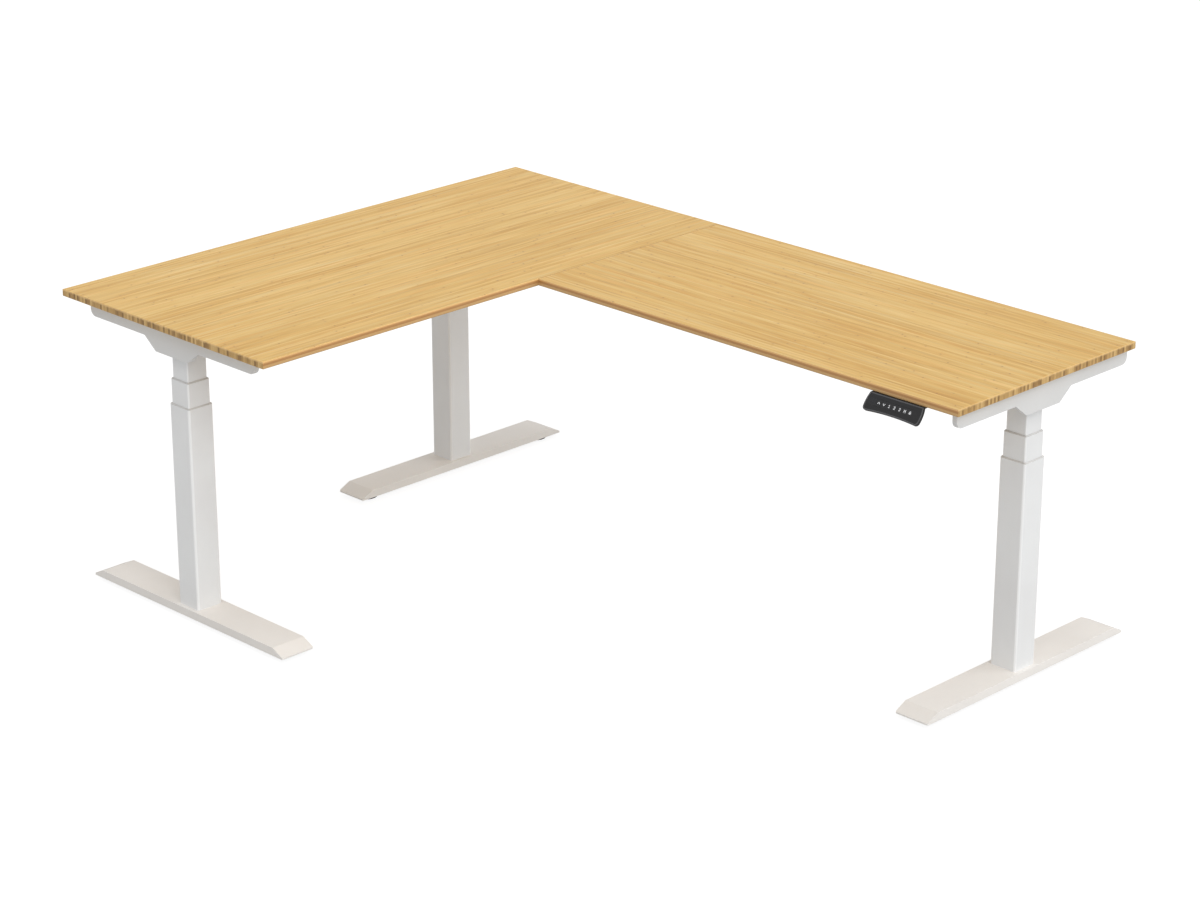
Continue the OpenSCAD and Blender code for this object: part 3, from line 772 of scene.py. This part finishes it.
def foot_bolts(leg):
    """Four bolts that hold the foot to the column, under the foot's top sheet."""
    middle = leg_frame(leg)[0]
    foot_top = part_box(leg + "_foot")[1].z
    base = Vector((middle.x, middle.y, foot_top - SHEET))
    offsets = (-FOOT_BOLT_OFFSET, FOOT_BOLT_OFFSET)
    points = [base + Vector((x, y, 0)) for x in offsets for y in offsets]
    socket_screws(leg + "_foot_bolts", points, DOWN, 5 * MM, leg + "_base")


# ---------------------------------------------------------------- control box and leads

LEAD_BEND = 22 * MM         # how far before and after a corner a lead starts to turn
RING_NEAR = 3.2 * MM        # vertices of the CAD leads closer than this belong to one ring

# lathe sections in mm: (radius, height), the clip's radius counted from the lead's own
STATUS_LENS = [(0, -1), (3.2, -1), (3.2, 0.4), (2.4, 1.0), (0, 1.3)]
CLIP_BAND = [(0.1, -4), (1.5, -4), (1.7, -3.6), (1.7, 3.6), (1.5, 4), (0.1, 4)]
STRAIN_RELIEF = [(4.4, 7)]
for turn in range(4):
    rise = 2.4 * turn
    groove = 3.5 - 0.2 * turn
    STRAIN_RELIEF += [(4.2 - 0.3 * turn, 8.2 + rise), (groove, 8.6 + rise), (groove, 9.8 + rise)]

RIBS = 14
RIB_STEP = 9 * MM
RIB_SIZE = (4 * MM, 62 * MM, 1.6 * MM)


def centre_lines(node, near):
    """Middle lines of a node's tubes.

    Vertices closer than near make one ring, and edges join ring to ring.
    """
    bm = bmesh.new()
    bm.from_mesh(nodes[node].data)
    bmesh.ops.remove_doubles(bm, verts=bm.verts, dist=WELD)
    bm.verts.index_update()
    verts = list(bm.verts)
    ring_of = {}
    rings = []
    for start in verts:
        if start in ring_of:
            continue
        ring, waiting = [], [start]
        ring_of[start] = len(rings)
        while waiting:
            here = waiting.pop()
            ring.append(here)
            for other in verts:
                if other not in ring_of and (other.co - here.co).length < near:
                    ring_of[other] = len(rings)
                    waiting.append(other)
        rings.append(ring)
    links = [set() for _ in rings]
    for edge in bm.edges:
        a, b = (ring_of[vertex] for vertex in edge.verts)
        if a != b:
            links[a].add(b)
            links[b].add(a)
    middles = [sum((vertex.co for vertex in ring), Vector()) / len(ring) for ring in rings]
    bm.free()
    lines, used = [], set()
    for end in (i for i, others in enumerate(links) if len(others) == 1):
        if end in used:
            continue
        line, here = [], end
        while here is not None:
            used.add(here)
            line.append(middles[here])
            here = next((other for other in sorted(links[here]) if other not in used), None)
        lines.append(line)
    return lines


def eased(line, cut, steps=8):
    """A line with each corner rounded, from cut before it to cut after it."""
    points = [line[0]]
    for before, here, after in zip(line, line[1:], line[2:]):
        to_before, to_after = before - here, after - here
        a = here + to_before.normalized() * min(cut, to_before.length * 0.48)
        b = here + to_after.normalized() * min(cut, to_after.length * 0.48)
        for i in range(steps + 1):
            t = i / steps
            points.append(a * (1 - t) ** 2 + here * 2 * t * (1 - t) + b * t ** 2)
    return points + [line[-1]]


def smooth_leads():
    """The CAD leads again, round and with easy bends."""
    angles = [2 * math.pi * k / LEAD_SIDES for k in range(LEAD_SIDES)]
    bm = bmesh.new()
    for line in centre_lines("leads", RING_NEAR):
        points = eased(line, LEAD_BEND)
        across = Vector((0, 0, 1))
        rings = []
        for i, here in enumerate(points):
            along = (points[min(i + 1, len(points) - 1)] - points[max(i - 1, 0)]).normalized()
            across = across - along * across.dot(along)
            if across.length < 0.1:
                across = along.orthogonal()
            across.normalize()
            other = along.cross(across)
            rings.append([bm.verts.new(here + (across * math.cos(a) + other * math.sin(a)) * LEAD_R)
                          for a in angles])
        capped_skin(bm, rings)
    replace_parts(finish_mesh(bm, "smooth_leads", "head", "lead_black"), "leads")


def plugs():
    """Moulded plugs with a latch and a strain relief where leads enter the control box."""
    body_size = (16 * MM, 13 * MM, 9 * MM)
    latch_size = (11 * MM, 5 * MM, 2 * MM)
    latch_drop = Vector((0, 0, 5 * MM))
    bm = bmesh.new()
    for end_x, way in ((BOX_LOW.x + TAB, -1), (BOX_HIGH.x - TAB, 1)):
        for side in (-1, 1):
            centre = Vector((end_x + way * 7 * MM, BOX_MID.y + side * LEAD_GAP, BOX_MID.z))
            block(bm, body_size, Matrix.Translation(centre), 1 * MM)
            block(bm, latch_size, Matrix.Translation(centre - latch_drop), 0.5 * MM)
            lathe(bm, in_mm(STRAIN_RELIEF), facing(centre, (way, 0, 0)))
    finish_mesh(bm, "lead_plugs", "head", "lead_black")


def box_trim():
    """Cooling ribs under the control box, screws through its tabs, and the status lens on its front."""
    bm = bmesh.new()
    for i in range(RIBS):
        x = BOX_MID.x + (i - (RIBS - 1) / 2) * RIB_STEP
        block(bm, RIB_SIZE, Matrix.Translation((x, BOX_MID.y, BOX_LOW.z)), 0.6 * MM)
    finish_mesh(bm, "box_ribs", "head", "box_black")
    points = [Vector((x, BOX_MID.y + y, PANEL_LOW - SHEET))
              for x in (BOX_LOW.x + TAB / 2, BOX_HIGH.x - TAB / 2) for y in (-32 * MM, 32 * MM)]
    socket_screws("box_screws", points, DOWN, 3.4 * MM, "head")
    bm = bmesh.new()
    lens_place = (BOX_LOW.x + TAB + 24 * MM, BOX_LOW.y, BOX_MID.z)
    lathe(bm, in_mm(STATUS_LENS), facing(lens_place, (0, -1, 0)))
    finish_mesh(bm, "status_lens", "head", "window")


def lead_clips():
    """Saddle clips that hold the leads up against the panels."""
    front_y, back_y = BOX_MID.y - LEAD_GAP, BOX_MID.y + LEAD_GAP
    return_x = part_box("return_rails")[1].x + 10 * MM
    keypad_x = (CASE_LOW.x + CASE_HIGH.x) / 2
    rails_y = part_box("main_rails")[0].y
    # (x, y, the way the lead runs)
    places = [(x, y, "x") for x in (-0.45, -0.30) for y in (front_y, back_y)]
    places += [(x, front_y, "x") for x in (0.30, 0.52)]
    places += [(x, back_y, "x") for x in (0.24, 0.40)]
    places += [(return_x, y, "y") for y in (-0.34, -0.12, 0.10, 0.27)]
    places += [(keypad_x, y, "y") for y in (0.5 * (CASE_HIGH.y + rails_y), rails_y - 60 * MM)]
    quarter = math.radians(90)
    above = PANEL_LOW - LEAD_Z
    post_h = above - LEAD_R
    pad_t = 1.6 * MM
    to_post = Matrix.Translation((0, 0, LEAD_R + post_h / 2))
    to_pad = Matrix.Translation((0, 0, above - pad_t / 2))
    bm = bmesh.new()
    for x, y, run in places:
        turned = Matrix.Rotation(quarter, 4, "Z") if run == "y" else Matrix.Identity(4)
        place = Matrix.Translation((x, y, LEAD_Z)) @ turned
        lathe(bm, in_mm(CLIP_BAND, LEAD_R), place @ Matrix.Rotation(quarter, 4, "Y"))
        block(bm, (7 * MM, 5 * MM, post_h), place @ to_post, 0.5 * MM)
        block(bm, (14 * MM, 14 * MM, pad_t), place @ to_pad, 0.5 * MM)
    finish_mesh(bm, "lead_clips", "head", "lead_black")


# ---------------------------------------------------------------- floor, light and camera

WHITE = (1.0, 1.0, 1.0, 1.0)
BOUNCE = (0.62, 0.62, 0.62, 1.0)    # how much light the floor throws on the desk
MATTE = (0.2, 0.2, 0.2, 1.0)        # how much of the camera's view of the floor can take a shadow
GLOW = 0.9                          # and how much of it is always white
SURROUND = 0.64                     # how much light the surroundings throw on the desk
FLOOR_HALF = 150.0
FLOOR_Z = -0.3 * MM
SUN_SOFTNESS = math.radians(35)


def camera_switch(tree, seen, unseen, output):
    """Joins one shader for what the camera sees and another for the light that bounces."""
    path = tree.nodes.new("ShaderNodeLightPath")
    mix = tree.nodes.new("ShaderNodeMixShader")
    tree.links.new(path.outputs["Is Camera Ray"], mix.inputs[0])
    tree.links.new(unseen.outputs[0], mix.inputs[1])
    tree.links.new(seen.outputs[0], mix.inputs[2])
    tree.links.new(mix.outputs[0], output.inputs["Surface"])


def floor():
    """White floor, so bright that only contact shadows show, with a pale bounce for the desk."""
    mesh = bpy.data.meshes.new("floor")
    signs = ((-1, -1), (1, -1), (1, 1), (-1, 1))
    corners = [(x * FLOOR_HALF, y * FLOOR_HALF, FLOOR_Z) for x, y in signs]
    mesh.from_pydata(corners, [], [(0, 1, 2, 3)])
    obj = bpy.data.objects.new("floor", mesh)
    bpy.context.scene.collection.objects.link(obj)
    material = bpy.data.materials.new("floor")
    material.use_nodes = True
    tree = material.node_tree
    tree.nodes.clear()
    output = tree.nodes.new("ShaderNodeOutputMaterial")
    bounce = tree.nodes.new("ShaderNodeBsdfDiffuse")
    bounce.inputs["Color"].default_value = BOUNCE
    matte = tree.nodes.new("ShaderNodeBsdfDiffuse")
    matte.inputs["Color"].default_value = MATTE
    glow = tree.nodes.new("ShaderNodeEmission")
    glow.inputs["Strength"].default_value = GLOW
    white = tree.nodes.new("ShaderNodeAddShader")
    tree.links.new(matte.outputs[0], white.inputs[0])
    tree.links.new(glow.outputs[0], white.inputs[1])
    camera_switch(tree, white, bounce, output)
    mesh.materials.append(material)


def sun(name, azimuth, elevation, strength, mirrored=True):
    """Even light from far away, mirrored in gloss or not; azimuth in degrees from +X towards -Y."""
    data = bpy.data.lights.new(name, "SUN")
    data.energy = strength
    data.angle = SUN_SOFTNESS
    obj = bpy.data.objects.new(name, data)
    bpy.context.scene.collection.objects.link(obj)
    turn, rise = math.radians(azimuth), math.radians(elevation)
    towards = Vector((math.cos(rise) * math.cos(turn), -math.cos(rise) * math.sin(turn), math.sin(rise)))
    obj.rotation_euler = (-towards).to_track_quat("-Z", "Y").to_euler()
    obj.visible_glossy = mirrored


def studio():
    """White surroundings, with soft light from the right, from the back right and from above."""
    scene = bpy.context.scene
    world = bpy.data.worlds.new("studio")
    world.use_nodes = True
    tree = world.node_tree
    unseen = tree.nodes["Background"]
    unseen.inputs["Color"].default_value = WHITE
    unseen.inputs["Strength"].default_value = SURROUND
    seen = tree.nodes.new("ShaderNodeBackground")
    seen.inputs["Color"].default_value = WHITE
    seen.inputs["Strength"].default_value = 1.0
    camera_switch(tree, seen, unseen, tree.nodes["World Output"])
    scene.world = world
    scene.view_settings.view_transform = "Standard"
    sun("key", 30, 45, 0.66)
    sun("side", -40, 22, 0.78, mirrored=False)
    sun("overhead", 20, 75, 0.40)


def camera():
    """The photo's camera, as fitted to the edges of the panels and columns."""
    data = bpy.data.cameras.new("camera")
    data.sensor_width = 36.0
    data.lens = 96.806
    obj = bpy.data.objects.new("camera", data)
    bpy.context.scene.collection.objects.link(obj)
    obj.location = (5.1601, -5.15389, 3.21349)
    obj.rotation_euler = (math.radians(69.05), 0.0, math.radians(44.92))
    bpy.context.scene.camera = obj


# ---------------------------------------------------------------- the whole scene

for key in KEYS:
    key_icon(key)
keypad_rim()
for leg in LEGS:
    motor_trim(leg)
    housing_screws(leg)
    foot_bolts(leg)
smooth_leads()
plugs()
box_trim()
lead_clips()
floor()
studio()
camera()
